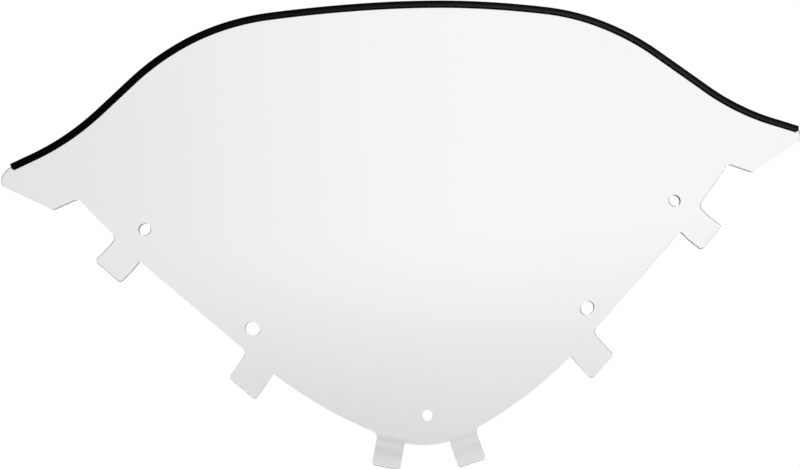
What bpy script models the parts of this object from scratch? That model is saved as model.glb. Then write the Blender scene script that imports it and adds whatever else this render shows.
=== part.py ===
"""A clear polycarbonate snowmobile-style windshield with a black vinyl trim along its upper edge.

The sheet is drawn flat, in millimetres: u runs along its width and v up its centre line, both from
the centre fastener hole. The flat pattern is then bent about a vertical axis. The bend is made of
flat facets between vertical fold lines, and each tab and each fastener hole lies within one facet.

World frame: +X along the width, +Y towards the hood's side, +Z up. The origin is the centre of the
centre fastener hole, on the outer face of the sheet.
"""

import math

import bmesh
import bpy
from mathutils import Vector
from mathutils.geometry import tessellate_polygon

MM = 0.001
MERGE = 0.01

# Sheet
SHEET_THICKNESS = 3.0
BEND_RADIUS = 2400.0
FACET_WIDTH = 14.0
EDGE_STEP = 9.0
CORNER_STEP = math.radians(15)

# Lower edge, from the centre line outwards: (radius, heading in degrees at the arc's end)
NOSE_DROP = 25.4
LOWER_ARCS = ((72.0, 22.5), (390.0, 43.0))

# Tabs, from the centre line outwards. Their sides lean towards the centre line from the lower edge's
# normal, and so may their tips. The edge beyond a tab starts cut_back further in than its root.
TABS = (
    {"width": 24.6, "length": 24.8, "side_lean": 8.9, "tip_lean": 8.9, "cut_back": 0.0},
    {"width": 30.2, "length": 26.8, "side_lean": 8.1, "tip_lean": 0.0, "cut_back": 0.0},
    {"width": 31.9, "length": 25.5, "side_lean": 2.6, "tip_lean": 0.0, "cut_back": 2.7},
)
TAB_NECK = 5.0
TAB_FILLET = 5.0
TAB_CORNER_RADIUS = 3.0
TAB_BEND = math.radians(18)
TAB_BEND_RADIUS = 30.0
TAB_BEND_STEPS = 5
ROOT_SEARCH_STEPS = 5

# What each side has of its own, as the two differ by up to 3 mm: the upper edge from the crown outwards,
# the wing beyond the outermost tab, where its tabs are along the width, and its fastener holes
CROWN_HEIGHT = 385.9
LEFT = {
    "crown": (-1680.0, -4.3),
    "shoulder": (-218.5, -41.0),
    "straight_run": 33.5,
    "hollow": (214.5, -20.4),
    "notch": (306.4, 216.4),
    "heel": (330.5, 207.8),
    "point": (386.2, 238.3),
    "point_radius": 9.0,
    "end_u": 374.0,
    "end_radius": 6.0,
    "tab_u": (33.0, 144.0, 261.1),
    "holes": ((149.3, 85.3), (244.5, 182.4)),
}
RIGHT = {
    "crown": (-993.0, -8.2),
    "shoulder": (-222.0, -37.9),
    "straight_run": 47.8,
    "hollow": (203.5, -16.8),
    "notch": (306.4, 217.1),
    "heel": (330.5, 208.3),
    "point": (388.8, 241.0),
    "point_radius": 7.0,
    "end_u": 387.0,
    "end_radius": 2.0,
    "tab_u": (29.4, 143.1, 260.5),
    "holes": ((151.3, 85.8), (247.0, 182.4)),
}
NOTCH_RADIUS = 5.5
HEEL_RADIUS = 5.5

# Fastener holes: radius, straight length and its heading. The side ones are listed outwards.
CENTRE_HOLE = {"radius": 4.75, "slot": 0.0, "heading": 0.0}
SIDE_HOLES = (
    {"radius": 5.5, "slot": 2.5, "heading": math.radians(43.0)},
    {"radius": 5.5, "slot": 0.0, "heading": 0.0},
)
HALF_HOLE_STEPS = 12

# Facets that stay whole around the tabs and the holes: the centre one's half width, then each side's
CENTRE_FACET_REACH = 16.5
WHOLE_FACETS = ((16.5, 52.0), (130.0, 165.0), (231.5, 278.0))
BEND_AXIS_Y = BEND_RADIUS * math.cos(CENTRE_FACET_REACH / BEND_RADIUS)

# Trim: a channel that grips the sheet, with a bead of adhesive between its web and the sheet's edge
CLEARANCE = 0.3
TRIM_WALL = 0.9
TRIM_WEB = 1.6
TRIM_GRIP = 3.5
TRIM_ROUNDING = 0.9
TRIM_LEFT_END = -371.0
TRIM_RIGHT_END = 386.0
BEAD_HEIGHT = 0.6
BEAD_WIDTH = 2.4
BEAD_SETBACK = 4.0
TRIM_ROUNDING_STEPS = 3

# Edges that turn by more than this are shown sharp
SHARP_ANGLE = math.radians(20)


def remove_old_objects():
    for old in list(bpy.data.objects):
        bpy.data.objects.remove(old, do_unlink=True)


def direction(heading):
    return Vector((math.cos(heading), math.sin(heading)))


# Edges made of tangent arcs


def arc_spans(start_height, arcs):
    """The spans of a smooth edge that leaves the centre line level: one dictionary for each arc."""
    spans = []
    u, v, heading = 0.0, start_height, 0.0
    for radius, end_degrees in arcs:
        end = math.radians(end_degrees)
        spans.append({"u": u, "v": v, "heading": heading, "radius": radius})
        u += radius * (math.sin(end) - math.sin(heading))
        v += radius * (math.cos(heading) - math.cos(end))
        heading = end
    spans.append({"u": u, "v": v, "heading": heading, "radius": None})
    return spans


def straight_then_arc(spans, run, arc):
    """The same edge, with its last straight cut to this run and an arc and a straight after it."""
    last = spans[-1]
    u = last["u"] + run
    v = last["v"] + run * math.tan(last["heading"])
    radius, end_degrees = arc
    end = math.radians(end_degrees)
    spans.append({"u": u, "v": v, "heading": last["heading"], "radius": radius})
    u += radius * (math.sin(end) - math.sin(last["heading"]))
    v += radius * (math.cos(last["heading"]) - math.cos(end))
    spans.append({"u": u, "v": v, "heading": end, "radius": None})
    return spans


def edge_at(spans, u):
    """Height and heading of an edge at u."""
    span = [each for each in spans if each["u"] <= u][-1]
    run = u - span["u"]
    if span["radius"] is None:
        return span["v"] + run * math.tan(span["heading"]), span["heading"]
    heading = math.asin(math.sin(span["heading"]) + run / span["radius"])
    height = span["v"] + span["radius"] * (math.cos(span["heading"]) - math.cos(heading))
    return height, heading


def edge_points(spans, start, end):
    """Evenly spaced points of an edge from start to end."""
    count = max(1, round(abs(end - start) / EDGE_STEP))
    stations = [start + (end - start) * i / count for i in range(count + 1)]
    return [Vector((u, edge_at(spans, u)[0])) for u in stations]


def rounded(before, corner, after, radius):
    """The arc that rounds a corner between two straight runs."""
    back = (before - corner).normalized()
    ahead = (after - corner).normalized()
    half = back.angle(ahead) / 2
    centre = corner + (back + ahead).normalized() * radius / math.sin(half)
    first = corner + back * radius / math.tan(half) - centre
    last = corner + ahead * radius / math.tan(half) - centre
    start = math.atan2(first.y, first.x)
    sweep = -first.angle_signed(last)
    count = max(2, math.ceil(abs(sweep) / CORNER_STEP))
    return [centre + direction(start + sweep * i / count) * radius for i in range(count + 1)]


LOWER_EDGE = arc_spans(-NOSE_DROP, LOWER_ARCS)


def upper_edge(half):
    spans = arc_spans(CROWN_HEIGHT, (half["crown"], half["shoulder"]))
    return straight_then_arc(spans, half["straight_run"], half["hollow"])


# Tabs in the flat pattern


def half_tabs(half):
    """The tabs of one side, each with its place along the width."""
    return [{"u": u, **tab} for u, tab in zip(half["tab_u"], TABS)]


def tab_skew(tab):
    """How far a tab's sides lean from square to its tip."""
    return math.radians(tab["side_lean"] - tab["tip_lean"])


def half_across(tab):
    """Half of a tab's width, measured along its tip."""
    return tab["width"] / 2 / math.cos(tab_skew(tab))


def tab_point(tab, across, out, reach=None):
    """A tab's point at this place across it and flat distance out, or drawn back to another reach."""
    height, heading = edge_at(LOWER_EDGE, tab["u"])
    heading -= math.radians(tab["tip_lean"])
    sideways = across - out * math.tan(tab_skew(tab))
    outwards = direction(heading - math.pi / 2)
    if reach is None:
        reach = out
    return Vector((tab["u"], height)) + direction(heading) * sideways + outwards * reach


def root_distance(tab, across):
    """Where the line at this place across a tab meets the lower edge, as a distance out."""
    out = 0.0
    for _ in range(ROOT_SEARCH_STEPS):
        point = tab_point(tab, across, out)
        height, heading = edge_at(LOWER_EDGE, point.x)
        out += (point.y - height) * math.cos(heading)
    return out


def inner_corner(tab):
    """Where the inner side of a tab meets the lower edge."""
    return tab_point(tab, -half_across(tab), root_distance(tab, -half_across(tab)))


def outer_corner(tab):
    """Where the outer side of a tab would meet the edge beyond it."""
    out = root_distance(tab, half_across(tab)) - tab["cut_back"]
    return tab_point(tab, half_across(tab), out)


def tab_neck(tab, beyond):
    """The outline from a tab's inner root corner, across its neck, to the fillet on its outer side."""
    across = half_across(tab)
    neck_end = tab_point(tab, across, TAB_NECK)
    fillet = rounded(neck_end, outer_corner(tab), beyond, TAB_FILLET)
    return [inner_corner(tab), tab_point(tab, -across, TAB_NECK), neck_end, *fillet]


# Flat pattern


def half_outline(half):
    """One side's outline, drawn to the right, from the centre line's foot round to its top."""
    outline = []
    start = 0.0
    *inner_tabs, last = half_tabs(half)
    for tab in inner_tabs:
        beyond_u = outer_corner(tab).x + 2 * TAB_FILLET
        beyond = Vector((beyond_u, edge_at(LOWER_EDGE, beyond_u)[0]))
        outline += edge_points(LOWER_EDGE, start, inner_corner(tab).x)[:-1]
        outline += tab_neck(tab, beyond)
        start = beyond_u
    upper = upper_edge(half)
    notch, heel, point = Vector(half["notch"]), Vector(half["heel"]), Vector(half["point"])
    end = Vector((half["end_u"], edge_at(upper, half["end_u"])[0]))
    inboard_u = half["end_u"] - 2 * half["end_radius"]
    inboard = Vector((inboard_u, edge_at(upper, inboard_u)[0]))
    outline += edge_points(LOWER_EDGE, start, inner_corner(last).x)[:-1]
    outline += tab_neck(last, notch)
    outline += rounded(outer_corner(last), notch, heel, NOTCH_RADIUS)
    outline += rounded(notch, heel, point, HEEL_RADIUS)
    outline += rounded(heel, point, end, half["point_radius"])
    outline += rounded(point, end, inboard, half["end_radius"])
    outline += edge_points(upper, inboard_u, 0.0)
    return outline


def split_at_tip(outline):
    """An outline's lower and upper paths, both from the centre line out to the tip."""
    tip = max(range(len(outline)), key=lambda i: outline[i].x)
    return outline[: tip + 1], outline[tip:][::-1]


def across_width(left, right):
    """One path from the left tip to the right tip, from the two halves' paths out of the centre line."""
    mirrored = [Vector((-point.x, point.y)) for point in left[:0:-1]]
    return mirrored + right


def divided(start, stop):
    """Evenly spaced lines after start, up to and including stop."""
    count = math.ceil((stop - start) / FACET_WIDTH)
    return [start + (stop - start) * (i + 1) / count for i in range(count)]


def side_folds(reach):
    """Fold lines on one side of the centre facet, out to reach, that leave the whole facets uncut."""
    folds = [CENTRE_FACET_REACH]
    for start, stop in WHOLE_FACETS:
        folds += divided(folds[-1], start)
        folds.append(stop)
    return folds + divided(folds[-1], reach)


def cut_at(path, folds):
    """A path from left to right in pieces, cut where it crosses the fold lines."""
    pieces, piece = [], [path[0]]
    waiting = list(folds[1:-1])
    for before, after in zip(path, path[1:]):
        while waiting and before.x < waiting[0] <= after.x:
            crossing = before.lerp(after, (waiting.pop(0) - before.x) / (after.x - before.x))
            pieces.append([*piece, crossing])
            piece = [crossing]
        if (after - piece[-1]).length > MERGE:
            piece.append(after)
    pieces.append(piece)
    return pieces


def every_hole():
    """The fastener holes, each with its centre and its heading on the side that it is on."""
    holes = [{**CENTRE_HOLE, "at": Vector((0.0, 0.0))}]
    for side, half in ((-1, LEFT), (1, RIGHT)):
        for hole, (u, v) in zip(SIDE_HOLES, half["holes"]):
            holes.append({**hole, "at": Vector((side * u, v)), "heading": side * hole["heading"]})
    return holes


def hole_loop(hole):
    """Outline of a hole, counter-clockwise, as two half circles."""
    step = math.pi / HALF_HOLE_STEPS
    loop = []
    for middle in (hole["heading"], hole["heading"] + math.pi):
        end = hole["at"] + direction(middle) * hole["slot"] / 2
        first = middle - math.pi / 2 + step / 2
        loop += [end + direction(first + step * i) * hole["radius"] for i in range(HALF_HOLE_STEPS)]
    return loop


# Bent sheet


def on_arc(u, height, depth):
    """World place, in millimetres, of a fold line's point at this depth below the outer face."""
    radius = BEND_RADIUS - depth
    angle = u / BEND_RADIUS
    return Vector((radius * math.sin(angle), BEND_AXIS_Y - radius * math.cos(angle), height))


def on_sheet(point, depth, facet):
    """World place, in millimetres, of a flat-pattern point in a facet, at this depth."""
    start = on_arc(facet[0], point.y, depth)
    end = on_arc(facet[1], point.y, depth)
    return start.lerp(end, (point.x - facet[0]) / (facet[1] - facet[0]))


class Plate:
    """A closed plate: an outer and an inner skin with matching faces, and walls between their edges."""

    def __init__(self):
        self.outer = []
        self.inner = []
        self.faces = []
        self.known = {}

    def corner(self, outer, inner):
        """Index of a pair of matching points, made once for each place."""
        key = tuple(round(x / MERGE) for x in outer)
        if key not in self.known:
            self.known[key] = len(self.outer)
            self.outer.append(outer)
            self.inner.append(inner)
        return self.known[key]

    def through(self, point, facet):
        """Index of a flat-pattern point on both skins, straight through the sheet."""
        return self.corner(on_sheet(point, 0.0, facet), on_sheet(point, SHEET_THICKNESS, facet))

    def mesh(self, name):
        shift = len(self.outer)
        sides = {(a, b) for face in self.faces for a, b in zip(face, face[1:] + face[:1])}
        walls = [(b, a, a + shift, b + shift) for a, b in sorted(sides) if (b, a) not in sides]
        inside = [[corner + shift for corner in reversed(face)] for face in self.faces]
        made = bpy.data.meshes.new(name)
        places = [[x * MM for x in place] for place in self.outer + self.inner]
        made.from_pydata(places, [], self.faces + inside + walls)
        return made


def signed_area(loop):
    return sum(a.x * b.y - b.x * a.y for a, b in zip(loop, loop[1:] + loop[:1])) / 2


def add_facet(plate, facet, outline, holes):
    """One flat facet, filled around its holes."""
    loops = [outline] + [hole_loop(hole) for hole in holes]
    points = [point for loop in loops for point in loop]
    for triangle in tessellate_polygon([[point.to_3d() for point in loop] for loop in loops]):
        corners = [points[i] for i in triangle]
        if signed_area(corners) < 0:
            corners.reverse()
        plate.faces.append([plate.through(corner, facet) for corner in corners])


def bend_rows():
    """Rows down a tab's bend: flat distance out, reach and depth of the sheet's middle, and slope."""
    rows = []
    for i in range(TAB_BEND_STEPS + 1):
        slope = TAB_BEND * i / TAB_BEND_STEPS
        out = TAB_NECK + TAB_BEND_RADIUS * slope
        reach = TAB_NECK + TAB_BEND_RADIUS * math.sin(slope)
        depth = SHEET_THICKNESS / 2 - TAB_BEND_RADIUS * (1 - math.cos(slope))
        rows.append((out, reach, depth, slope))
    return rows


def tab_rows(tab):
    """Every row of a tab from its neck to its rounded tip, with the half width of each."""
    rows = [(*row, half_across(tab)) for row in bend_rows()]
    bend_out, bend_reach, bend_depth, slope = bend_rows()[-1]
    count = round(math.pi / 2 / CORNER_STEP)
    for i in range(count + 1):
        turn = math.pi / 2 * i / count
        out = tab["length"] - TAB_CORNER_RADIUS * (1 - math.sin(turn))
        reach = bend_reach + (out - bend_out) * math.cos(slope)
        depth = bend_depth - (out - bend_out) * math.sin(slope)
        rows.append((out, reach, depth, slope, half_across(tab) - TAB_CORNER_RADIUS * (1 - math.cos(turn))))
    return rows


def add_tab(plate, tab, facet, side):
    """A tab from the end of its neck, bent out of the plane of its facet towards the outer side."""
    ends = []
    for out, reach, depth, slope, half_width in tab_rows(tab):
        pair = []
        for across in (-half_width, half_width):
            places = []
            for skin in (SHEET_THICKNESS / 2, -SHEET_THICKNESS / 2):
                at = tab_point(tab, across, out, reach - skin * math.sin(slope))
                at.x *= side
                places.append(on_sheet(at, depth - skin * math.cos(slope), facet))
            pair.append(plate.corner(*places))
        ends.append(pair)
    for (a, b), (d, c) in zip(ends, ends[1:]):
        face = [a, d, c, b]
        plate.faces.append(face if side > 0 else face[::-1])


def facet_around(folds, u):
    """The facet that holds the vertical line at u."""
    return next(facet for facet in zip(folds, folds[1:]) if facet[0] <= u <= facet[1])


def screen_mesh(lower, upper, folds):
    """The bent sheet with its tabs and its fastener holes."""
    plate = Plate()
    facets = list(zip(folds, folds[1:]))
    for facet, below, above in zip(facets, cut_at(lower, folds), cut_at(upper, folds)):
        outline = below + above[::-1]
        outline = [a for a, b in zip(outline, outline[1:] + outline[:1]) if (a - b).length > MERGE]
        holes = [hole for hole in every_hole() if facet[0] < hole["at"].x < facet[1]]
        add_facet(plate, facet, outline, holes)
    for side, half in ((-1, LEFT), (1, RIGHT)):
        for tab in half_tabs(half):
            add_tab(plate, tab, facet_around(folds, side * tab["u"]), side)
    return plate.mesh("screen")


# Trim and adhesive, swept along the upper edge


def channel_profile():
    """The trim's section: across the sheet from its middle, and up from the sheet's edge."""
    slot = SHEET_THICKNESS / 2 + CLEARANCE
    outside = slot + TRIM_WALL
    web = 2 * CLEARANCE + BEAD_HEIGHT
    top = web + TRIM_WEB
    half = [(slot, web), (slot, -TRIM_GRIP), (outside, -TRIM_GRIP)]
    for i in range(TRIM_ROUNDING_STEPS + 1):
        turn = math.pi / 2 * i / TRIM_ROUNDING_STEPS
        across = outside - TRIM_ROUNDING * (1 - math.cos(turn))
        up = top - TRIM_ROUNDING * (1 - math.sin(turn))
        half.append((across, up))
    return half + [(-across, up) for across, up in reversed(half)]


def bead_profile():
    """The adhesive's section, in the same terms as the trim's."""
    half = BEAD_WIDTH / 2
    top = CLEARANCE + BEAD_HEIGHT
    return [(half, CLEARANCE), (half, top), (-half, top), (-half, CLEARANCE)]


def part_of_path(path, start, stop):
    """The stretch of a left-to-right path between two lines."""
    inner = [point for point in path if start + MERGE < point.x < stop - MERGE]
    ends = []
    for line in (start, stop):
        after = next(i for i, point in enumerate(path) if point.x >= line)
        before, beyond = path[after - 1], path[after]
        ends.append(before.lerp(beyond, (line - before.x) / (beyond.x - before.x)))
    return [ends[0], *inner, ends[1]]


def swept_mesh(name, path, folds, profile):
    """A closed bar with this section along a stretch of the sheet's upper edge."""
    middles = [on_sheet(point, SHEET_THICKNESS / 2, facet_around(folds, point.x)) for point in path]
    places = []
    for i, (point, middle) in enumerate(zip(path, middles)):
        along = (middles[min(i + 1, len(middles) - 1)] - middles[max(i - 1, 0)]).normalized()
        angle = point.x / BEND_RADIUS
        outwards = Vector((math.sin(angle), -math.cos(angle), 0.0))
        up = outwards.cross(along).normalized()
        outwards = along.cross(up)
        places += [middle + outwards * across + up * rise for across, rise in profile]
    size = len(profile)
    faces = [list(range(size)), list(range(len(places) - size, len(places)))[::-1]]
    for ring in range(0, len(places) - size, size):
        for i in range(size):
            after = (i + 1) % size
            faces.append([ring + after, ring + i, ring + size + i, ring + size + after])
    made = bpy.data.meshes.new(name)
    made.from_pydata([place * MM for place in places], [], faces)
    return made


def trim_mesh(upper, folds):
    path = part_of_path(upper, TRIM_LEFT_END, TRIM_RIGHT_END)
    return swept_mesh("edge_trim", path, folds, channel_profile())


def bead_mesh(upper, folds):
    path = part_of_path(upper, TRIM_LEFT_END + BEAD_SETBACK, TRIM_RIGHT_END - BEAD_SETBACK)
    return swept_mesh("trim_adhesive", path, folds, bead_profile())


# Materials


def material(name, colour, roughness):
    made = bpy.data.materials.new(name)
    made.use_nodes = True
    shader = made.node_tree.nodes["Principled BSDF"]
    shader.inputs["Base Color"].default_value = (*colour, 1.0)
    shader.inputs["Roughness"].default_value = roughness
    shader.inputs["Metallic"].default_value = 0.0
    return made


def clear_polycarbonate():
    clear = material("clear_polycarbonate", (0.93, 0.94, 0.94), roughness=0.03)
    clear.node_tree.nodes["Principled BSDF"].inputs["Alpha"].default_value = 0.25
    return clear


def black_vinyl():
    return material("black_vinyl", (0.012, 0.012, 0.013), roughness=0.45)


def adhesive():
    return material("trim_adhesive", (0.05, 0.05, 0.05), roughness=0.6)


# Objects


def sheet_paths():
    """The sheet's lower and upper paths from the left tip to the right tip, and its fold lines."""
    right_lower, right_upper = split_at_tip(half_outline(RIGHT))
    left_lower, left_upper = split_at_tip(half_outline(LEFT))
    lower = across_width(left_lower, right_lower)
    upper = across_width(left_upper, right_upper)
    folds = [-u for u in reversed(side_folds(-lower[0].x))] + side_folds(lower[-1].x)
    return lower, upper, folds


def add_piece(name, mesh, finish, parent):
    """A piece as an object of its own, with its faces turned outwards."""
    turned = bmesh.new()
    turned.from_mesh(mesh)
    bmesh.ops.recalc_face_normals(turned, faces=turned.faces)
    turned.to_mesh(mesh)
    turned.free()
    mesh.shade_smooth()
    mesh.set_sharp_from_angle(angle=SHARP_ANGLE)
    mesh.materials.append(finish)
    piece = bpy.data.objects.new(name, mesh)
    piece.parent = parent
    bpy.context.collection.objects.link(piece)


def main():
    remove_old_objects()
    windshield = bpy.data.objects.new("windshield", None)
    bpy.context.collection.objects.link(windshield)
    lower, upper, folds = sheet_paths()
    upper_with_folds = [point for piece in cut_at(upper, folds) for point in piece[:-1]] + [upper[-1]]
    add_piece("screen", screen_mesh(lower, upper, folds), clear_polycarbonate(), windshield)
    add_piece("edge_trim", trim_mesh(upper_with_folds, folds), black_vinyl(), windshield)
    add_piece("trim_adhesive", bead_mesh(upper_with_folds, folds), adhesive(), windshield)


main()
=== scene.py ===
"""Looks of a clear windshield sheet with a black vinyl trim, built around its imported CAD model.

The sheet is drawn flat, in millimetres: u runs along its width and v up its centre line, both from
the centre fastener hole. It is cut out with rounded edges, its tabs are bent towards its outer side, and
the whole is bent smoothly about a vertical axis. Trim and adhesive then follow its upper edge.
"""

import math

import bmesh
import bpy
import numpy as np
from mathutils import Matrix, Vector, noise
from mathutils.geometry import delaunay_2d_cdt
from mathutils.kdtree import KDTree


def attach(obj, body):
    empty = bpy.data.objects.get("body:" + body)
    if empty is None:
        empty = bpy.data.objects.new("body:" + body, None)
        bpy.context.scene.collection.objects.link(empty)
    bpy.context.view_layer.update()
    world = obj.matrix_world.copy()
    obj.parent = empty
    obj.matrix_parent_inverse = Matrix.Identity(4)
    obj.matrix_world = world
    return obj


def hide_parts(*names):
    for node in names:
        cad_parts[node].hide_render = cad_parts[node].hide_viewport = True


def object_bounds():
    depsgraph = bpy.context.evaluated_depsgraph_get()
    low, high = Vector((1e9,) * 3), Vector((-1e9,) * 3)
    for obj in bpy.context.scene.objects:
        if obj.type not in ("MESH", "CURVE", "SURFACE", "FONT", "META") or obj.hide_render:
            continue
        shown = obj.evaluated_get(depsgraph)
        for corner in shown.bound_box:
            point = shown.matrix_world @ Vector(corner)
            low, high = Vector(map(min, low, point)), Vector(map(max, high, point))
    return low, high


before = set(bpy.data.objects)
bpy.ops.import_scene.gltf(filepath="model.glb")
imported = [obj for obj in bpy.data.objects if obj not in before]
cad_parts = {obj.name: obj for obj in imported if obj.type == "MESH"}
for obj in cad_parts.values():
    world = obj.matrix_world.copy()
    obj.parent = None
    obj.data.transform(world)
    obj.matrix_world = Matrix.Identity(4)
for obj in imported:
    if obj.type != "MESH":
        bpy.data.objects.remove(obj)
cad_low, cad_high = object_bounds()

MM = 0.001

# Sheet, and the spacing of its mesh. Its skin's points are picked from rows and columns that reach
# beyond its outline, and neighbours within MERGE_DISTANCE are one point.
SHEET_THICKNESS = 3.0
HALF_SHEET = SHEET_THICKNESS / 2
BEND_RADIUS = 2400.0
CENTRE_FACET_REACH = 16.5
BEND_AXIS_Y = BEND_RADIUS * math.cos(CENTRE_FACET_REACH / BEND_RADIUS)
EDGE_STEP = 3.0
CORNER_STEP = math.radians(9)
SKIN_STEP = 6.0
SKIN_MARGIN = 2.4
SKIN_ROWS = (-60.0, 400.0)
SKIN_COLUMNS = (-400.0, 400.0)
MERGE_DISTANCE = 0.02
FILL_TOLERANCE = 1e-6
PROBE_REACH = 0.05
EDGE_ROUNDING = 0.35
ROUNDING_STEPS = 4
SAWN_FROSTING = 0.35
RIPPLE_HEIGHT = 0.12
RIPPLE_LENGTH = 140.0

# Lower edge, from the centre line outwards: (radius, heading in degrees at the arc's end)
NOSE_DROP = 25.4
LOWER_ARCS = ((72.0, 22.5), (390.0, 43.0))

# Tabs, from the centre line outwards. Their sides lean towards the centre line from the lower edge's
# normal, and so may their tips. The edge beyond a tab starts cut_back further in than its root.
TABS = (
    {"width": 24.6, "length": 24.8, "side_lean": 8.9, "tip_lean": 8.9, "cut_back": 0.0},
    {"width": 30.2, "length": 26.8, "side_lean": 8.1, "tip_lean": 0.0, "cut_back": 0.0},
    {"width": 31.9, "length": 25.5, "side_lean": 2.6, "tip_lean": 0.0, "cut_back": 2.7},
)
TAB_NECK = 5.0
TAB_FILLET = 5.0
TAB_CORNER_RADIUS = 3.0
TAB_BEND = math.radians(18)
TAB_BEND_RADIUS = 30.0
TAB_BEND_STEPS = 12
TAB_MESH_STEP = 2.6
TAB_ROOT_RADIUS = 0.8
TAB_SIDE_MARGIN = 1.0
ROOT_SEARCH_STEPS = 5

# Painted shade in bands across the bends of the nose tabs, stronger on the left one: (distance out, reach,
# share of the light that the painted shade takes off)
BEND_SHADE_BANDS = ((1.2, 2.6, 0.12), (11.5, 6.0, 0.115))
BEND_SHADE_STRENGTHS = {-1: 1.0, 1: 0.55}
ROOT_ROWS_REACH = 6.0
ROOT_ROWS_STEP = 1.5

# What each side has of its own, as the two differ by up to 3 mm: the upper edge's arcs from the crown
# outwards, where a negative radius curves down, the wing beyond the outermost tab, where its tabs are
# along the width, and its fastener holes
CROWN_HEIGHT = 385.9
LEFT = {
    "crown": (-1680.0, -4.3),
    "shoulder": (-218.5, -41.0),
    "straight_run": 33.5,
    "hollow": (214.5, -20.4),
    "notch": (306.4, 216.4),
    "heel": (330.5, 207.8),
    "point": (386.2, 238.3),
    "point_radius": 9.0,
    "end_u": 374.0,
    "end_radius": 6.0,
    "tab_u": (33.0, 144.0, 261.1),
    "holes": ((149.3, 85.3), (244.5, 182.4)),
}
RIGHT = {
    "crown": (-993.0, -8.2),
    "shoulder": (-222.0, -37.9),
    "straight_run": 47.8,
    "hollow": (203.5, -16.8),
    "notch": (306.4, 217.1),
    "heel": (330.5, 208.3),
    "point": (388.8, 241.0),
    "point_radius": 7.0,
    "end_u": 387.0,
    "end_radius": 2.0,
    "tab_u": (29.4, 143.1, 260.5),
    "holes": ((151.3, 85.8), (247.0, 182.4)),
}
SIDES = ((-1, LEFT), (1, RIGHT))
NOTCH_RADIUS = 5.5
HEEL_RADIUS = 5.5

# Fastener holes: radius, straight length and its heading. The side ones are listed outwards.
CENTRE_HOLE = {"radius": 4.75, "slot": 0.0, "heading": 0.0}
SIDE_HOLES = (
    {"radius": 5.5, "slot": 2.5, "heading": math.radians(43.0)},
    {"radius": 5.5, "slot": 0.0, "heading": 0.0},
)
HALF_HOLE_STEPS = 28

# Trim: a channel that grips the sheet, with a bead of adhesive between its web and the sheet's edge
CLEARANCE = 0.3
TRIM_WALL = 0.9
TRIM_WEB = 1.6
TRIM_GRIP = 3.5
TRIM_CROWN_RADIUS = 1.3
TRIM_LIP_RADIUS = 0.35
TRIM_LEFT_END = -371.0
TRIM_RIGHT_END = 386.0
TRIM_END_ROUNDING = 0.3
TRIM_STEP = 3.0
TRIM_WOBBLE = 0.12
BEAD_HEIGHT = 0.6
BEAD_WIDTH = 2.4
BEAD_SETBACK = 4.0
BEAD_CORNER_RADIUS = BEAD_HEIGHT / 3
BEAD_END_ROUNDING = BEAD_HEIGHT / 4
BEAD_WOBBLE = 0.15
PROFILE_CORNER_STEP = math.radians(22.5)
END_STEPS = 3
SHARP_ANGLE = math.radians(35)

# The noise that moves a soft part off its path, up and down, and in and out: (length, place in the noise)
RISE_WOBBLE = (40.0, 0.0)
DEPTH_WOBBLE = (55.0, 9.0)

# The looks' scales count features to the metre, or to one turn around the trim's section.
# Clear sheet: how it lets light through, its wipe haze and its dust
SHEET_IOR = 1.585
SHEET_DENSITY = 6.0
SHEET_TINT = (0.035, 0.04, 0.04, 1.0)
SHEET_SHADE = (0.96, 0.96, 0.96, 1.0)
HAZE_SCALE = (9.0, 9.0, 26.0)
HAZE_LIMITS = (0.45, 0.8)
HAZE_ROUGHNESS = (0.0, 0.035)
DUST_SCALE = (11.0, 11.0, 11.0)
DUST_RADII = (0.004, 0.008)
DUST_CLEARNESS = (0.35, 1.0)
DUST_SHADE = (0.05, 0.05, 0.05, 1.0)

# Vinyl: its draw lines and grain, and a painted highlight on its outer lip. The lip's limits run around the
# section from 0 to 1, and the painted highlight sets in along the trim, in metres.
VINYL_SHADES = ((0.0006, 0.0006, 0.0007, 1.0), (0.0018, 0.0018, 0.002, 1.0))
VINYL_ROUGHNESS = (0.42, 0.62)
VINYL_SHINE = 0.03
DRAW_LINES_SCALE = (12.0, 90.0, 1.0)
GRAIN_SCALE = 2600.0
GRAIN_SHARE = 0.6
NOISE_LIMITS = (0.3, 0.7)
LIP_HIGHLIGHT_SHADE = (0.02, 0.02, 0.02, 1.0)
LIP_START = (0.110, 0.123)
LIP_END = (0.2, 0.24)
LIP_HIGHLIGHT_START = (0.18, 0.5)

# Adhesive and floor
ADHESIVE_SHADES = ((0.012, 0.012, 0.012, 1.0), (0.03, 0.03, 0.03, 1.0))
ADHESIVE_ROUGHNESS = (0.55, 0.8)
LUMP_SCALE = 700.0
PAPER_SHADES = ((0.46, 0.46, 0.46, 1.0), (0.48, 0.48, 0.48, 1.0))
PAPER_ROUGHNESS = 0.9
PAPER_SHINE = 0.1
MOTTLE_SCALE = 3.0
FLOOR_DROP = 0.25
FLOOR_REACH = 3.5
FLOOR_SIDES = 96

# Backdrop. Its fades run over one part of a ray's direction: (start, end, least, most).
BACKDROP_LOWEST = 0.56
BACKDROP_ACROSS = (-0.6, 0.2, 0.0, 0.225)
BACKDROP_UPWARDS = (-0.05, 0.22, 0.0, 0.235)
BACKDROP_SEEN = 1.0
MIRRORED_ROOM = 0.2
WHITE = (1.0, 1.0, 1.0, 1.0)

# Lights, in metres and watts, and the camera
SOFTBOXES = (
    {"name": "key", "place": (1.6, -1.4, 2.4), "size": (2.2, 1.4), "power": 60.0},
    {"name": "top", "place": (-0.4, 0.6, 2.8), "size": (2.6, 1.8), "power": 50.0},
)
CAMERA_PLACE = (-0.0614, -0.8377, -0.0166)
CAMERA_TURN = math.radians(-3.272)
CAMERA_TILT = math.radians(12.0)
CAMERA_ROLL = math.radians(3.859)
CAMERA_LENS = 42.75
SENSOR_WIDTH = 36.0


def direction(heading):
    return Vector((math.cos(heading), math.sin(heading)))


def side_of(u):
    """Which side of the centre line u is on: 1 on the right, -1 on the left."""
    return 1 if u >= 0 else -1


# Edges made of tangent arcs


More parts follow.
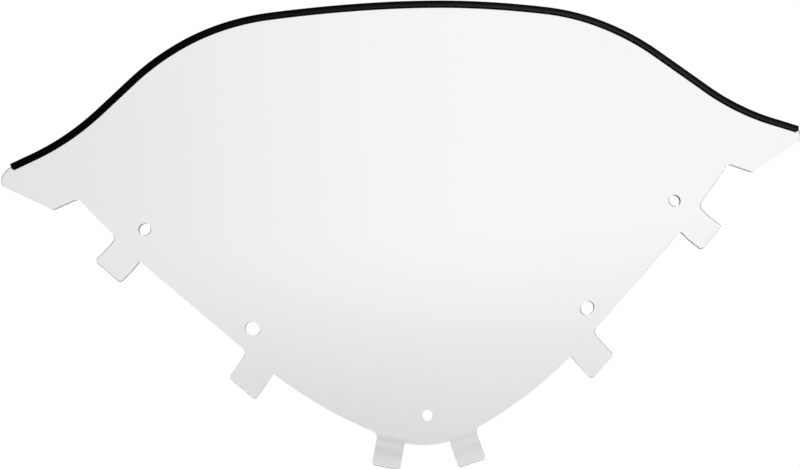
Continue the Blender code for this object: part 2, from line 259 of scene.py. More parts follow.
def add_arc(spans, u, v, heading, arc):
    """Add an arc that starts here to an edge's spans. Returns its end: u, v and heading."""
    radius, end_degrees = arc
    end = math.radians(end_degrees)
    spans.append({"u": u, "v": v, "heading": heading, "radius": radius})
    u += radius * (math.sin(end) - math.sin(heading))
    v += radius * (math.cos(heading) - math.cos(end))
    return u, v, end


def arc_spans(start_height, arcs):
    """The spans of a smooth edge that leaves the centre line level: its arcs, then a straight."""
    spans = []
    u, v, heading = 0.0, start_height, 0.0
    for arc in arcs:
        u, v, heading = add_arc(spans, u, v, heading, arc)
    spans.append({"u": u, "v": v, "heading": heading, "radius": None})
    return spans


def straight_then_arc(spans, run, arc):
    """The same edge, with its last straight cut to this run and an arc and a straight after it."""
    last = spans[-1]
    u = last["u"] + run
    v = last["v"] + run * math.tan(last["heading"])
    u, v, heading = add_arc(spans, u, v, last["heading"], arc)
    spans.append({"u": u, "v": v, "heading": heading, "radius": None})
    return spans


def edge_at(spans, u):
    """Height and heading of an edge at u."""
    span = [each for each in spans if each["u"] <= u][-1]
    run = u - span["u"]
    if span["radius"] is None:
        return span["v"] + run * math.tan(span["heading"]), span["heading"]
    heading = math.asin(math.sin(span["heading"]) + run / span["radius"])
    height = span["v"] + span["radius"] * (math.cos(span["heading"]) - math.cos(heading))
    return height, heading


def edge_points(spans, start, end):
    """Evenly spaced points of an edge from start to end."""
    count = max(1, round(abs(end - start) / EDGE_STEP))
    stations = [start + (end - start) * i / count for i in range(count + 1)]
    return [Vector((u, edge_at(spans, u)[0])) for u in stations]


def straight_points(start, end):
    """Evenly spaced points of a straight run, without its ends."""
    count = max(1, round((end - start).length / EDGE_STEP))
    return [start.lerp(end, i / count) for i in range(1, count)]


def rounded(before, corner, after, radius, step=CORNER_STEP):
    """The arc that rounds a corner between two straight runs."""
    back = (before - corner).normalized()
    ahead = (after - corner).normalized()
    half = back.angle(ahead) / 2
    centre = corner + (back + ahead).normalized() * radius / math.sin(half)
    first = corner + back * radius / math.tan(half) - centre
    last = corner + ahead * radius / math.tan(half) - centre
    start = math.atan2(first.y, first.x)
    sweep = -first.angle_signed(last)
    count = max(2, math.ceil(abs(sweep) / step))
    return [centre + direction(start + sweep * i / count) * radius for i in range(count + 1)]


LOWER_EDGE = arc_spans(-NOSE_DROP, LOWER_ARCS)


def upper_edge(half):
    spans = arc_spans(CROWN_HEIGHT, (half["crown"], half["shoulder"]))
    return straight_then_arc(spans, half["straight_run"], half["hollow"])


# Tabs in the flat pattern


def half_tabs(half):
    """The tabs of one side, each with its place along the width."""
    return [{"u": u, **tab} for u, tab in zip(half["tab_u"], TABS)]


def tab_skew(tab):
    """How far a tab's sides lean from square to its tip."""
    return math.radians(tab["side_lean"] - tab["tip_lean"])


def half_across(tab):
    """Half of a tab's width, measured along its tip."""
    return tab["width"] / 2 / math.cos(tab_skew(tab))


def tab_point(tab, across, out, reach=None):
    """A tab's point at this place across it and flat distance out, or drawn back to another reach."""
    height, heading = edge_at(LOWER_EDGE, tab["u"])
    heading -= math.radians(tab["tip_lean"])
    sideways = across - out * math.tan(tab_skew(tab))
    outwards = direction(heading - math.pi / 2)
    if reach is None:
        reach = out
    return Vector((tab["u"], height)) + direction(heading) * sideways + outwards * reach


def root_distance(tab, across):
    """Where the line at this place across a tab meets the lower edge, as a distance out."""
    out = 0.0
    for _ in range(ROOT_SEARCH_STEPS):
        point = tab_point(tab, across, out)
        height, heading = edge_at(LOWER_EDGE, point.x)
        out += (point.y - height) * math.cos(heading)
    return out


def inner_corner(tab):
    """Where the inner side of a tab meets the lower edge."""
    return tab_point(tab, -half_across(tab), root_distance(tab, -half_across(tab)))


def outer_corner(tab):
    """Where the outer side of a tab would meet the edge beyond it."""
    out = root_distance(tab, half_across(tab)) - tab["cut_back"]
    return tab_point(tab, half_across(tab), out)


def bend_stations():
    """Rows across a tab, from its neck to the end of its bend, as flat distances from its root."""
    count = TAB_BEND_STEPS
    return [TAB_NECK + TAB_BEND_RADIUS * TAB_BEND * i / count for i in range(count + 1)]


def tab_outline(tab, beyond):
    """A tab's flat outline, from its inner root corner round its tip to the fillet on its outer side."""
    across = half_across(tab)
    root = inner_corner(tab)
    before_root = Vector((root.x - EDGE_STEP, edge_at(LOWER_EDGE, root.x - EDGE_STEP)[0]))
    inner_tip = tab_point(tab, -across, tab["length"])
    outer_tip = tab_point(tab, across, tab["length"])
    first_corner = rounded(root, inner_tip, outer_tip, TAB_CORNER_RADIUS)
    second_corner = rounded(inner_tip, outer_tip, outer_corner(tab), TAB_CORNER_RADIUS)
    outline = rounded(before_root, root, inner_tip, TAB_ROOT_RADIUS)
    outline += [tab_point(tab, -across, out) for out in bend_stations()]
    outline += straight_points(outline[-1], first_corner[0])
    outline += first_corner
    outline += straight_points(first_corner[-1], second_corner[0])
    outline += second_corner
    outline += straight_points(second_corner[-1], tab_point(tab, across, bend_stations()[-1]))
    outline += [tab_point(tab, across, out) for out in reversed(bend_stations())]
    outline += rounded(outer_tip, outer_corner(tab), beyond, TAB_FILLET)
    return outline


# Flat pattern


def inboard_of(half):
    """Where a half's upper edge takes over from the corner at its end."""
    return half["end_u"] - 2 * half["end_radius"]


def wing_corners(half, tab):
    """The rounded corners of a wing, from the notch beyond this tab to the sheet's upper edge."""
    upper = upper_edge(half)
    root = outer_corner(tab)
    notch, heel, point = Vector(half["notch"]), Vector(half["heel"]), Vector(half["point"])
    end = Vector((half["end_u"], edge_at(upper, half["end_u"])[0]))
    inboard = Vector((inboard_of(half), edge_at(upper, inboard_of(half))[0]))
    return [
        rounded(root, notch, heel, NOTCH_RADIUS),
        rounded(notch, heel, point, HEEL_RADIUS),
        rounded(heel, point, end, half["point_radius"]),
        rounded(point, end, inboard, half["end_radius"]),
    ]


def half_outline(half):
    """One side's outline, drawn to the right, from the centre line's foot round to its top."""
    outline = []
    start = 0.0
    *inner_tabs, last = half_tabs(half)
    for tab in inner_tabs:
        beyond_u = outer_corner(tab).x + 2 * TAB_FILLET
        beyond = Vector((beyond_u, edge_at(LOWER_EDGE, beyond_u)[0]))
        outline += edge_points(LOWER_EDGE, start, inner_corner(tab).x)[:-1]
        outline += tab_outline(tab, beyond)
        start = beyond_u
    outline += edge_points(LOWER_EDGE, start, inner_corner(last).x)[:-1]
    outline += tab_outline(last, Vector(half["notch"]))
    for corner in wing_corners(half, last):
        outline += straight_points(outline[-1], corner[0])
        outline += corner
    outline += edge_points(upper_edge(half), inboard_of(half), 0.0)
    return outline


def whole_outline():
    """The sheet's outline, counter-clockwise as seen from the outer side, without repeated points."""
    right = half_outline(RIGHT)
    left = [Vector((-point.x, point.y)) for point in reversed(half_outline(LEFT))]
    outline = right + left
    following = outline[1:] + outline[:1]
    return [point for point, after in zip(outline, following) if (after - point).length > MERGE_DISTANCE]


def every_hole():
    """The fastener holes, each with its centre and its heading on the side that it is on."""
    holes = [{**CENTRE_HOLE, "at": Vector((0.0, 0.0))}]
    for side, half in SIDES:
        for hole, (u, v) in zip(SIDE_HOLES, half["holes"]):
            holes.append({**hole, "at": Vector((side * u, v)), "heading": side * hole["heading"]})
    return holes


def hole_loop(hole):
    """Outline of a hole, counter-clockwise, as two half circles."""
    step = math.pi / HALF_HOLE_STEPS
    loop = []
    for middle in (hole["heading"], hole["heading"] + math.pi):
        end = hole["at"] + direction(middle) * hole["slot"] / 2
        first = middle - math.pi / 2 + step / 2
        loop += [end + direction(first + step * i) * hole["radius"] for i in range(HALF_HOLE_STEPS)]
    return loop


def left_normals(loop):
    """For each corner of a closed loop, the move that shifts both its sides one unit to their left."""
    moves = []
    for before, corner, after in zip(loop[-1:] + loop[:-1], loop, loop[1:] + loop[:1]):
        first = (corner - before).normalized()
        second = (after - corner).normalized()
        middle = Vector((-first.y - second.y, first.x + second.x)).normalized()
        moves.append(middle / middle.dot(Vector((-first.y, first.x))))
    return moves


# Bent sheet


def bent(out):
    """Reach and rise, towards the outer side, of a tab's middle at this flat distance from its root."""
    run = out - TAB_NECK
    slope = min(run / TAB_BEND_RADIUS, TAB_BEND)
    flat_run = run - slope * TAB_BEND_RADIUS
    reach = TAB_NECK + TAB_BEND_RADIUS * math.sin(slope) + flat_run * math.cos(slope)
    rise = TAB_BEND_RADIUS * (1 - math.cos(slope)) + flat_run * math.sin(slope)
    return reach, rise


def tab_axes(tab):
    """A tab's root centre, and the directions along its tip and square to it."""
    root = tab_point(tab, 0.0, 0.0)
    return root, tab_point(tab, 1.0, 0.0) - root, tab_point(tab, 0.0, 0.0, 1.0) - root


TAB_AXES = {side: [(tab, *tab_axes(tab)) for tab in half_tabs(half)] for side, half in SIDES}


def tab_under(u, v):
    """The tab that a flat-pattern point is on or just above, and its distances out and sideways."""
    place = Vector((abs(u), v))
    for number, (tab, root, along, outwards) in enumerate(TAB_AXES[side_of(u)]):
        out = (place - root).dot(outwards)
        sideways = (place - root).dot(along)
        across = sideways + out * math.tan(tab_skew(tab))
        if out > -ROOT_ROWS_REACH and abs(across) < half_across(tab) + TAB_SIDE_MARGIN:
            return number, out, sideways
    return None, 0.0, 0.0


def bend_tab(u, v):
    """A flat-pattern point and its rise off the sheet, once the tab that it is on has been bent."""
    number, out, sideways = tab_under(u, v)
    if out <= TAB_NECK:
        return u, v, 0.0
    _, root, along, outwards = TAB_AXES[side_of(u)][number]
    reach, rise = bent(out)
    moved = root + along * sideways + outwards * reach
    return side_of(u) * moved.x, moved.y, rise


def painted_bend_shade(u, v):
    """The share of the light that the painted shade across a nose tab's bend takes off here."""
    number, out, _ = tab_under(u, v)
    if number != 0:
        return 0.0
    bands = sum(lost * math.exp(-(((out - at) / reach) ** 2)) for at, reach, lost in BEND_SHADE_BANDS)
    return BEND_SHADE_STRENGTHS[side_of(u)] * bands


def middle_of_sheet(u, v):
    """World place, in millimetres, of the middle of the sheet's thickness at a flat-pattern point."""
    u, v, rise = bend_tab(u, v)
    ripple = RIPPLE_HEIGHT * noise.noise(Vector((u, v, 0.0)) / RIPPLE_LENGTH)
    radius = BEND_RADIUS - HALF_SHEET + rise + ripple
    angle = u / BEND_RADIUS
    return Vector((radius * math.sin(angle), BEND_AXIS_Y - radius * math.cos(angle), v))


def axes_of_sheet(u, v):
    """Unit vectors at a flat-pattern point: across the width, up the sheet and out of its outer face."""
    across = middle_of_sheet(u + PROBE_REACH, v) - middle_of_sheet(u - PROBE_REACH, v)
    up = middle_of_sheet(u, v + PROBE_REACH) - middle_of_sheet(u, v - PROBE_REACH)
    return across.normalized(), up.normalized(), across.cross(up).normalized()


def is_inside(points, loop):
    """For each point, whether it lies inside a closed loop."""
    inside = np.zeros(len(points), bool)
    x, y = points[:, 0], points[:, 1]
    for a, b in zip(loop, loop[1:] + loop[:1]):
        spans = (a.y > y) != (b.y > y)
        rise = b.y - a.y if b.y != a.y else 1.0
        inside ^= spans & (x < a.x + (y - a.y) * (b.x - a.x) / rise)
    return inside


def edge_finder(loops):
    """A search tree of every point on these loops."""
    points = [point for loop in loops for point in loop]
    tree = KDTree(len(points))
    for i, point in enumerate(points):
        tree.insert(point.to_3d(), i)
    tree.balance()
    return tree


def skin_points(outline, holes):
    """Points spread over the inside of the sheet's outline, clear of its edges, tabs and holes."""
    rows = np.arange(*SKIN_ROWS, SKIN_STEP * math.sin(math.pi / 3))
    columns = np.arange(*SKIN_COLUMNS, SKIN_STEP)
    spread = [(u + SKIN_STEP / 2 * (i % 2), v) for i, v in enumerate(rows) for u in columns]
    spread = np.array(spread)
    spread = spread[is_inside(spread, outline)]
    for hole in holes:
        spread = spread[~is_inside(spread, hole)]
    edge = edge_finder([outline, *holes])
    kept = []
    for u, v in spread:
        on_tab = tab_under(u, v)[0] is not None
        _, _, distance = edge.find((u, v, 0.0))
        if not on_tab and distance > SKIN_MARGIN:
            kept.append(Vector((u, v)))
    return kept


def tab_points(tab, side):
    """Rows of points across a tab, from just above its root, close together in its bend."""
    inner_half = half_across(tab) - SKIN_MARGIN / 2
    columns = round(2 * inner_half / TAB_MESH_STEP)
    last = tab["length"] - TAB_CORNER_RADIUS
    bend_end = bend_stations()[-1]
    tail = round((last - bend_end) / TAB_MESH_STEP)
    above = round((ROOT_ROWS_REACH + TAB_NECK) / ROOT_ROWS_STEP)
    rows = [TAB_NECK - ROOT_ROWS_STEP * (i + 1) for i in range(above - 1)]
    rows += bend_stations()
    rows += [bend_end + (last - bend_end) * (i + 1) / tail for i in range(tail)]
    points = []
    for out in rows:
        for i in range(columns + 1):
            point = tab_point(tab, -inner_half + 2 * inner_half * i / columns, out)
            points.append(Vector((side * point.x, point.y)))
    return points


def filled(loops, points):
    """Triangles that fill the first loop around the others, over the loops' and the loose points."""
    corners = [point for loop in loops for point in loop]
    edges = []
    start = 0
    loop_of = {}
    for number, loop in enumerate(loops):
        size = len(loop)
        edges += [(start + i, start + (i + 1) % size) for i in range(size)]
        loop_of.update({start + i: number for i in range(size)})
        start += size
    inside_only = 1
    filling = delaunay_2d_cdt(corners + points, edges, [], inside_only, FILL_TOLERANCE)
    _, _, faces, origins, _, _ = filling
    source = [origin[0] for origin in origins]
    triangles = []
    for face in faces:
        triangle = [source[corner] for corner in face]
        on_loops = {loop_of.get(corner, -1) for corner in triangle}
        closes_hole = len(on_loops) == 1 and on_loops != {-1} and on_loops != {0}
        if not closes_hole:
            triangles.append(triangle)
    return corners + points, triangles


class Solid:
    """A closed mesh in the making: world places and normals of its corners, and its faces."""

    def __init__(self):
        self.places = []
        self.normals = []
        self.painted_bend_shade = []
        self.frosting = []
        self.faces = []

    def corner(self, flat, depth, sideways, outwards, frosting=0.0):
        """A corner below a flat-pattern point, with a normal that leans sideways in the flat plane."""
        across, up, out = axes_of_sheet(flat.x, flat.y)
        self.places.append(middle_of_sheet(flat.x, flat.y) + out * (HALF_SHEET - depth))
        normal = across * sideways.x + up * sideways.y + out * outwards
        self.normals.append(normal.normalized())
        # Painted shade across the nose tabs' bends, kept for the sheet's material
        self.painted_bend_shade.append(painted_bend_shade(flat.x, flat.y))
        self.frosting.append(frosting)
        return len(self.places) - 1

    def object(self, name, finish):
        mesh = bpy.data.meshes.new(name)
        mesh.from_pydata([place * MM for place in self.places], [], self.faces)
        mesh.shade_smooth()
        mesh.normals_split_custom_set_from_vertices(self.normals)
        for quality, values in (("painted_bend_shade", self.painted_bend_shade), ("frosting", self.frosting)):
            layer = mesh.attributes.new(quality, "FLOAT", "POINT")
            layer.data.foreach_set("value", values)
        return linked(name, mesh, finish)


def linked(name, mesh, finish):
    mesh.materials.append(finish)
    piece = bpy.data.objects.new(name, mesh)
    bpy.context.scene.collection.objects.link(piece)
    return piece


def add_skin(solid, flat_points, triangles, depth, outwards):
    """One face of the sheet. Returns its corners, in the order of the flat points."""
    flat = Vector((0.0, 0.0))
    skin = [solid.corner(point, depth, flat, outwards) for point in flat_points]
    for triangle in triangles:
        corners = [skin[i] for i in triangle]
        solid.faces.append(corners if outwards > 0 else corners[::-1])
    return skin


def rounding_rows():
    """Rows of the cut edge from the outer face to the inner one: inset, depth and the normal's lean."""
    turns = [math.pi / 2 * i / ROUNDING_STEPS for i in range(1, ROUNDING_STEPS + 1)]
    rows = []
    for turn in turns:
        inset = EDGE_ROUNDING * (1 - math.sin(turn))
        depth = EDGE_ROUNDING * (1 - math.cos(turn))
        rows.append((inset, depth, turn))
    inner_rows = [(inset, SHEET_THICKNESS - depth, math.pi - turn) for inset, depth, turn in reversed(rows)]
    return rows + inner_rows


def add_edge(solid, loop, moves, outer_row, inner_row, frosting):
    """The rounded cut edge along one loop, between the corners of the two skins."""
    rows = [outer_row]
    for inset, depth, turn in rounding_rows():
        row = []
        for point, move in zip(loop, moves):
            lean = -move.normalized() * math.sin(turn)
            row.append(solid.corner(point + move * inset, depth, lean, math.cos(turn), frosting))
        rows.append(row)
    rows.append(inner_row)
    for shallow, deep in zip(rows, rows[1:]):
        for i, corner in enumerate(shallow):
            after = (i + 1) % len(shallow)
            solid.faces.append([corner, deep[i], deep[after], shallow[after]])


def make_screen(finish):
    """The sheet: two skins over the same triangles, joined by a rounded edge along every loop."""
    loops = [whole_outline()] + [hole_loop(hole)[::-1] for hole in every_hole()]
    moves = [left_normals(loop) for loop in loops]
    inset_loops = []
    for loop, loop_moves in zip(loops, moves):
        inset_loops.append([point + move * EDGE_ROUNDING for point, move in zip(loop, loop_moves)])
    loose = skin_points(loops[0], loops[1:])
    for side, half in SIDES:
        for tab in half_tabs(half):
            loose += tab_points(tab, side)
    flat_points, triangles = filled(inset_loops, loose)
    solid = Solid()
    outer = add_skin(solid, flat_points, triangles, 0.0, 1.0)
    inner = add_skin(solid, flat_points, triangles, SHEET_THICKNESS, -1.0)
    start = 0
    for loop, loop_moves in zip(loops, moves):
        end = start + len(loop)
        frosting = SAWN_FROSTING if loop is loops[0] else 0.0
        add_edge(solid, loop, loop_moves, outer[start:end], inner[start:end], frosting)
        start = end
    return solid.object("clear_sheet", finish)


# Trim and adhesive, swept along the upper edge


def closed_profile(corners):
    """A closed section with rounded corners, from (place, radius) pairs."""
    places = [Vector(place) for place, _ in corners]
    profile = []
    for i, (_, radius) in enumerate(corners):
        after = places[(i + 1) % len(places)]
        profile += rounded(places[i - 1], places[i], after, radius, PROFILE_CORNER_STEP)
    return profile


def channel_profile():
    """The trim's section, clockwise: across the sheet from its middle, and up from its edge."""
    slot = HALF_SHEET + CLEARANCE
    outside = slot + TRIM_WALL
    web = 2 * CLEARANCE + BEAD_HEIGHT
    top = web + TRIM_WEB
    right = [
        ((outside, top), TRIM_CROWN_RADIUS),
        ((outside, -TRIM_GRIP), TRIM_LIP_RADIUS),
        ((slot, -TRIM_GRIP), TRIM_LIP_RADIUS),
        ((slot, web), TRIM_LIP_RADIUS),
    ]
    left = [((-across, up), radius) for (across, up), radius in reversed(right)]
    return closed_profile(right + left)


def bead_profile():
    """The adhesive's section, in the same terms as the trim's."""
    half = BEAD_WIDTH / 2
    top = CLEARANCE + BEAD_HEIGHT
    corners = ((half, top), (half, CLEARANCE), (-half, CLEARANCE), (-half, top))
    return closed_profile([(corner, BEAD_CORNER_RADIUS) for corner in corners])


UPPER_EDGES = {side: upper_edge(half) for side, half in SIDES}


def upper_at(u):
    """Height and slope of the sheet's upper edge at u, on either side."""
    height, heading = edge_at(UPPER_EDGES[side_of(u)], abs(u))
    return height, side_of(u) * heading


def stations(start, end):
    """Places along the upper edge: the distance run so far and the flat-pattern point."""
    count = round((end - start) / TRIM_STEP)
    rows = []
    run = 0.0
    for i in range(count + 1):
        u = start + (end - start) * i / count
        point = Vector((u, upper_at(u)[0]))
        if rows:
            run += (point - rows[-1][1]).length
        rows.append((run, point))
    return rows


def with_rounded_ends(rows, rounding):
    """The same stations with a few more at both ends: run, point, step along the edge and inset."""
    turns = [math.pi / 2 * i / END_STEPS for i in range(END_STEPS + 1)]
    shape = [(rounding * (1 - math.sin(turn)), rounding * (1 - math.cos(turn))) for turn in turns]
    first = [(*rows[0], back, inset) for inset, back in shape]
    last = [(*rows[-1], -back, inset) for inset, back in reversed(shape)]
    return first + [(*row, 0.0, 0.0) for row in rows[1:-1]] + last


def unevenness(run, pattern):
    """Smooth noise along a soft part, from -1 to 1, after this run."""
    length, place = pattern
    return noise.noise(Vector((run / length, place, 0.0)))


def swept_rings(made, rows, profile, wobble):
    """The corners of a bar's section at each of its stations."""
    moves = left_normals(profile)
    inside = 1 if signed_area(profile) > 0 else -1
    rings = []
    for run, point, forward, inset in rows:
        across, up, out = axes_of_sheet(point.x, point.y)
        heading = upper_at(point.x)[1]
        along = across * math.cos(heading) + up * math.sin(heading)
        rise = out.cross(along)
        centre = middle_of_sheet(point.x, point.y) + along * forward
        centre += rise * wobble * unevenness(run, RISE_WOBBLE)
        centre += out * wobble * unevenness(run, DEPTH_WOBBLE)
        ring = []
        for place, move in zip(profile, moves):
            shifted = place + move * inset * inside
            ring.append(made.verts.new((centre + out * shifted.x + rise * shifted.y) * MM))
        rings.append(ring)
    return rings


def join_rings(made, rings, runs):
    """Faces between a bar's rings, and a UV layer that runs along it and around its section."""
    layer = made.loops.layers.uv.new("along_and_around")
    size = len(rings[0])
    for before, after, start, end in zip(rings, rings[1:], runs, runs[1:]):
        for i in range(size):
            j = (i + 1) % size
            face = made.faces.new((before[i], before[j], after[j], after[i]))
            places = ((start, i), (start, i + 1), (end, i + 1), (end, i))
            for loop, (run, turn) in zip(face.loops, places):
                loop[layer].uv = (run * MM, turn / size)
    made.faces.new(rings[0])
    made.faces.new(rings[-1])


def swept(name, span, profile, rounding, wobble, finish):
    """A closed bar with this section along the sheet's upper edge, slightly uneven as a soft part is."""
    rows = with_rounded_ends(stations(*span), rounding)
    made = bmesh.new()
    rings = swept_rings(made, rows, profile, wobble)
    join_rings(made, rings, [row[0] for row in rows])
    bmesh.ops.recalc_face_normals(made, faces=made.faces)
    mesh = bpy.data.meshes.new(name)
    made.to_mesh(mesh)
    made.free()
    mesh.shade_smooth()
    mesh.set_sharp_from_angle(angle=SHARP_ANGLE)
    return linked(name, mesh, finish)


def signed_area(loop):
    return sum(a.x * b.y - b.x * a.y for a, b in zip(loop, loop[1:] + loop[:1])) / 2


def make_trim(finish):
    span = (TRIM_LEFT_END, TRIM_RIGHT_END)
    return swept("vinyl_trim", span, channel_profile(), TRIM_END_ROUNDING, TRIM_WOBBLE, finish)


def make_bead(finish):
    span = (TRIM_LEFT_END + BEAD_SETBACK, TRIM_RIGHT_END - BEAD_SETBACK)
    return swept("adhesive_bead", span, bead_profile(), BEAD_END_ROUNDING, BEAD_WOBBLE, finish)


# Nodes of materials and of the surroundings


def node_adder(tree):
    """A function that adds a node to this tree and sets its properties and its inputs."""

    def add(kind, **values):
        node = tree.nodes.new(kind)
        for key, value in values.items():
            if hasattr(node, key):
                setattr(node, key, value)
            else:
                node.inputs[key.replace("_", " ")].default_value = value
        return node

    return add


def feed(link, value, socket):
    """Give a socket its value, which is a number, a colour or another node's output."""
    if isinstance(value, (float, tuple)):
        socket.default_value = value
    else:
        link(value, socket)


def calculated(add, link, operation, first, second):
    node = add("ShaderNodeMath", operation=operation)
    feed(link, first, node.inputs[0])
    feed(link, second, node.inputs[1])
    return node.outputs["Value"]


def blended(add, link, share, first, second, data_type="RGBA"):
    """A colour or a number between two others, from the first at a share of 0 to the second at 1."""
    node = add("ShaderNodeMix", data_type=data_type)
    feed(link, share, node.inputs["Factor"])
    feed(link, first, node.inputs["A"])
    feed(link, second, node.inputs["B"])
    return node.outputs["Result"]


def ramp_between(add, link, value, start, end, low, high, interpolation="LINEAR"):
    """A value mapped from start..end onto low..high."""
    ramp = add("ShaderNodeMapRange", interpolation_type=interpolation)
    for name, number in (("From Min", start), ("From Max", end), ("To Min", low), ("To Max", high)):
        ramp.inputs[name].default_value = number
    link(value, ramp.inputs["Value"])
    return ramp.outputs["Result"]


def scaled(add, link, places, scale):
    mapping = add("ShaderNodeMapping", Scale=scale)
    link(places, mapping.inputs["Vector"])
    return mapping.outputs["Vector"]


def noise_over(add, link, places, **settings):
    """A noise texture's value over these places."""
    texture = add("ShaderNodeTexNoise", **settings)
    link(places, texture.inputs["Vector"])
    return texture.outputs["Fac"]


def object_places(add):
    """Places on the object, in metres."""
    return add("ShaderNodeTexCoord").outputs["Object"]


def roughen(add, link, shader, height, strength, distance):
    bump = add("ShaderNodeBump", Strength=strength, Distance=distance)
    link(height, bump.inputs["Height"])
    link(bump.outputs["Normal"], shader.inputs["Normal"])


# Materials


def new_material(name):
    """A material with a Principled shader, and the functions that add and link its nodes."""
    made = bpy.data.materials.new(name)
    made.use_nodes = True
    tree = made.node_tree
    return made, tree.nodes["Principled BSDF"], node_adder(tree), tree.links.new


def share_left(add, link, quality):
    """What is left of 1 after one of the sheet's stored values is taken off: its sawn frosting or its
    painted bend shade.
    """
    lost = add("ShaderNodeAttribute", attribute_name=quality)
    return calculated(add, link, "SUBTRACT", 1.0, lost.outputs["Fac"])


def dust_and_painted_bend_shade(add, link):
    """The sheet's colour: almost white, with a few dust specks, and painted shade in bands across the nose
    tabs' bends.
    """
    dust = add("ShaderNodeTexVoronoi", feature="F1", Scale=1.0, Randomness=1.0)
    link(scaled(add, link, object_places(add), DUST_SCALE), dust.inputs["Vector"])
    clean = ramp_between(add, link, dust.outputs["Distance"], *DUST_RADII, *DUST_CLEARNESS)
    shade = blended(add, link, clean, DUST_SHADE, SHEET_SHADE)
    # Painted shade: the colour is darkened in bands across the bends of the nose tabs
    bend_shaded = add("ShaderNodeVectorMath", operation="SCALE")
    link(shade, bend_shaded.inputs[0])
    link(share_left(add, link, "painted_bend_shade"), bend_shaded.inputs["Scale"])
    return bend_shaded.outputs["Vector"]


def clear_polycarbonate():
    """Polished clear sheet, slightly grey, with a frosted sawn outline, wipe marks and dust, and painted
    shade across the nose tabs' bends.
    """
    made, shader, add, link = new_material("clear_polycarbonate")
    shader.inputs["IOR"].default_value = SHEET_IOR
    link(share_left(add, link, "frosting"), shader.inputs["Transmission Weight"])
    places = scaled(add, link, object_places(add), HAZE_SCALE)
    wipes = noise_over(add, link, places, Scale=1.0, Detail=5.0, Roughness=0.6, Distortion=0.6)
    haze = ramp_between(add, link, wipes, *HAZE_LIMITS, *HAZE_ROUGHNESS)
    link(haze, shader.inputs["Roughness"])
    link(dust_and_painted_bend_shade(add, link), shader.inputs["Base Color"])
    absorption = add("ShaderNodeVolumeAbsorption", Density=SHEET_DENSITY, Color=SHEET_TINT)
    output = made.node_tree.nodes["Material Output"]
    link(absorption.outputs["Volume"], output.inputs["Volume"])
    return made


def painted_lip_highlight(add, link, places):
    """How strongly a highlight is painted on the trim here: fully on its outer lip at the right, and
    nowhere else.
    """
    split = add("ShaderNodeSeparateXYZ")
    link(places, split.inputs["Vector"])
    onto_lip = ramp_between(add, link, split.outputs["Y"], *LIP_START, 0.0, 1.0)
    off_lip = ramp_between(add, link, split.outputs["Y"], *LIP_END, 1.0, 0.0)
    to_the_right = ramp_between(add, link, split.outputs["X"], *LIP_HIGHLIGHT_START, 0.0, 1.0)
    on_lip = calculated(add, link, "MULTIPLY", onto_lip, off_lip)
    return calculated(add, link, "MULTIPLY", on_lip, to_the_right)


def black_vinyl():
    """Extruded black vinyl: satin, with fine draw lines, a soft grain and a highlight painted on its lip on
    the right.
    """
    made, shader, add, link = new_material("black_vinyl")
    shader.inputs["Specular IOR Level"].default_value = VINYL_SHINE
    places = add("ShaderNodeUVMap", uv_map="along_and_around").outputs["UV"]
    stretched = scaled(add, link, places, DRAW_LINES_SCALE)
    lines = noise_over(add, link, stretched, Scale=1.0, Detail=4.0, Roughness=0.7)
    grain = noise_over(add, link, object_places(add), Scale=GRAIN_SCALE, Detail=3.0, Roughness=0.6)
    grain_height = calculated(add, link, "MULTIPLY", grain, GRAIN_SHARE)
    height = calculated(add, link, "ADD", grain_height, lines)
    roughen(add, link, shader, height, strength=0.35, distance=0.0001)
    roughness = ramp_between(add, link, lines, *NOISE_LIMITS, *VINYL_ROUGHNESS)
    link(roughness, shader.inputs["Roughness"])
    shade = blended(add, link, lines, *VINYL_SHADES)
    # Painted highlight: the outer lip is made lighter towards the right
    lip_highlighted = blended(add, link, painted_lip_highlight(add, link, places), shade, LIP_HIGHLIGHT_SHADE)
    link(lip_highlighted, shader.inputs["Base Color"])
    return made


def adhesive():
    """Cured butyl: dull dark grey with a lumpy surface."""
    made, shader, add, link = new_material("trim_adhesive")
    lumps = noise_over(add, link, object_places(add), Scale=LUMP_SCALE, Detail=3.0, Roughness=0.5)
    roughen(add, link, shader, lumps, strength=0.5, distance=0.0002)
    roughness = ramp_between(add, link, lumps, *NOISE_LIMITS, *ADHESIVE_ROUGHNESS)
    link(roughness, shader.inputs["Roughness"])
    link(blended(add, link, lumps, *ADHESIVE_SHADES), shader.inputs["Base Color"])
    return made


def pale_paper():
    """Matt paper with a barely visible mottle. It is lit so brightly that mid grey looks pale."""
    made, shader, add, link = new_material("pale_paper")
    mottle = noise_over(add, link, object_places(add), Scale=MOTTLE_SCALE, Detail=4.0, Roughness=0.5)
    link(blended(add, link, mottle, *PAPER_SHADES), shader.inputs["Base Color"])
    shader.inputs["Roughness"].default_value = PAPER_ROUGHNESS
    shader.inputs["Specular IOR Level"].default_value = PAPER_SHINE
    return made


# Stage


def make_floor():
    mesh = bpy.data.meshes.new("floor")
    made = bmesh.new()
    bmesh.ops.create_circle(made, cap_ends=True, segments=FLOOR_SIDES, radius=FLOOR_REACH)
    made.to_mesh(mesh)
    made.free()
    floor = linked("floor", mesh, pale_paper())
    floor.location.z = cad_low.z - FLOOR_DROP


def faded_backdrop(add, link):
    """The backdrop's brightness along a ray: it fades downwards and to the left."""
    split = add("ShaderNodeSeparateXYZ")
    link(add("ShaderNodeTexCoord").outputs["Generated"], split.inputs["Vector"])
    across = ramp_between(add, link, split.outputs["X"], *BACKDROP_ACROSS, "SMOOTHSTEP")
    upwards = ramp_between(add, link, split.outputs["Z"], *BACKDROP_UPWARDS, "SMOOTHSTEP")
    fades = calculated(add, link, "ADD", across, upwards)
    return calculated(add, link, "ADD", fades, BACKDROP_LOWEST)


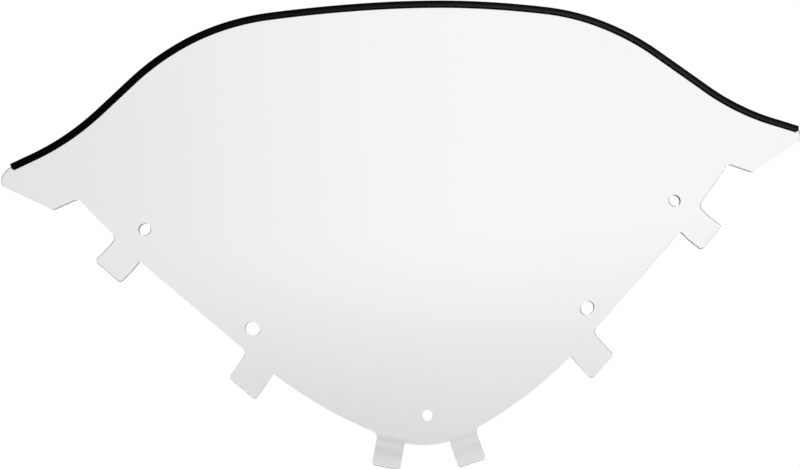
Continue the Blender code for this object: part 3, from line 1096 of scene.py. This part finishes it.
def make_surroundings():
    """A studio that is white to the camera, faded through the sheet, and dimmer in its mirrored light."""
    world = bpy.data.worlds.new("studio")
    bpy.context.scene.world = world
    world.use_nodes = True
    tree = world.node_tree
    tree.nodes.clear()
    add, link = node_adder(tree), tree.links.new
    rays = add("ShaderNodeLightPath").outputs
    mirrored = calculated(add, link, "MULTIPLY", rays["Is Glossy Ray"], rays["Is Reflection Ray"])
    lighting = blended(add, link, mirrored, faded_backdrop(add, link), MIRRORED_ROOM, "FLOAT")
    strength = blended(add, link, rays["Is Camera Ray"], lighting, BACKDROP_SEEN, "FLOAT")
    light = add("ShaderNodeBackground", Color=WHITE)
    link(strength, light.inputs["Strength"])
    link(light.outputs["Background"], add("ShaderNodeOutputWorld").inputs["Surface"])


def make_softbox(name, place, size, power):
    light = bpy.data.lights.new(name, "AREA")
    light.shape = "RECTANGLE"
    light.size, light.size_y = size
    light.energy = power
    box = bpy.data.objects.new(name, light)
    box.location = place
    middle = (cad_low + cad_high) / 2
    box.rotation_euler = (middle - Vector(place)).to_track_quat("-Z", "Y").to_euler()
    bpy.context.scene.collection.objects.link(box)


def make_camera():
    """The camera, which looks along +Y before it is rolled, tilted up and turned."""
    lens = bpy.data.cameras.new("camera")
    lens.sensor_width = SENSOR_WIDTH
    lens.lens = CAMERA_LENS
    camera = bpy.data.objects.new("camera", lens)
    turn = Matrix.Rotation(CAMERA_TURN, 4, "Z")
    tilt = Matrix.Rotation(CAMERA_TILT, 4, "X")
    roll = Matrix.Rotation(CAMERA_ROLL, 4, "Y")
    level = Matrix.Rotation(math.pi / 2, 4, "X")
    camera.matrix_world = Matrix.Translation(CAMERA_PLACE) @ turn @ tilt @ roll @ level
    bpy.context.scene.collection.objects.link(camera)
    bpy.context.scene.camera = camera


def add_piece(piece, node):
    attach(piece, "root")
    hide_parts(node)


def main():
    add_piece(make_screen(clear_polycarbonate()), "screen")
    add_piece(make_trim(black_vinyl()), "edge_trim")
    add_piece(make_bead(adhesive()), "trim_adhesive")
    make_floor()
    make_surroundings()
    for softbox in SOFTBOXES:
        make_softbox(**softbox)
    make_camera()
    bpy.context.scene.view_settings.view_transform = "Standard"


main()
